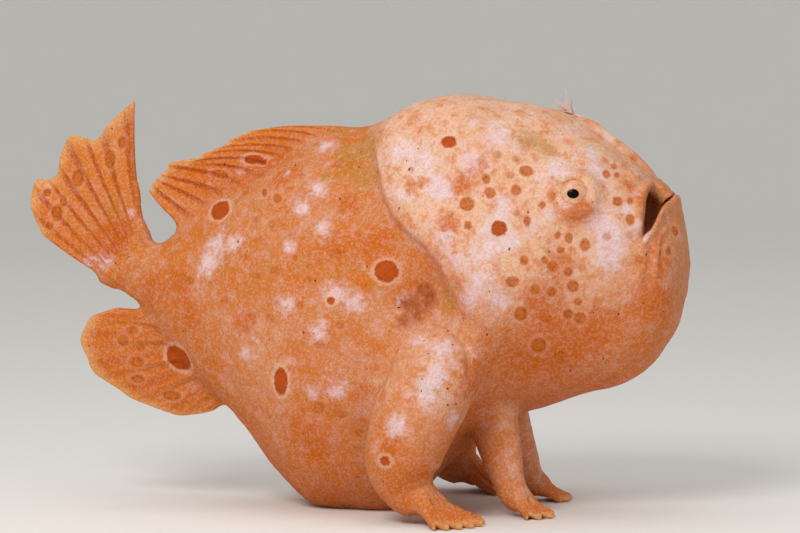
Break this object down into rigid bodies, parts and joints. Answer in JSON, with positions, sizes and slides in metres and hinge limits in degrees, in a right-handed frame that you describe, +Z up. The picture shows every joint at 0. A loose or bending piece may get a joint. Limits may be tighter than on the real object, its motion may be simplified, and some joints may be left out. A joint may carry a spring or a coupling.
{
  "type": "frogfish",
  "caption": "Life-size model of a painted frogfish at rest on its belly, hand-like pectoral fins and foot-like pelvic fins, tail swept up and back.",
  "frame": {"origin": "middle of the belly's flat on the floor, in the fish's middle plane", "axes": "+X towards the chin, +Y to the fish's left, +Z up"},
  "size_m": [0.1213, 0.0684, 0.074],
  "materials": {
    "skin": "soft matt, wet in life",
    "fin_skin": "soft satin",
    "eye": "wet gloss",
    "lure": "soft satin"
  },
  "bodies": {
    "root": {"head": "skin", "lower_jaw": "skin", "torso": "skin", "tail_stem": "skin", "third_dorsal_hump": "skin", "second_dorsal_spine": "skin", "lure": "lure", "soft_dorsal_fin": "fin_skin", "anal_fin": "fin_skin", "caudal_fin": "fin_skin", "pectoral_arm_right": "skin", "pectoral_arm_left": "skin", "pectoral_hand_right": "fin_skin", "pectoral_hand_left": "fin_skin", "pelvic_fin_right": "fin_skin", "pelvic_fin_left": "fin_skin", "eye_right": "eye", "eye_left": "eye"}
  },
  "joints": []
}
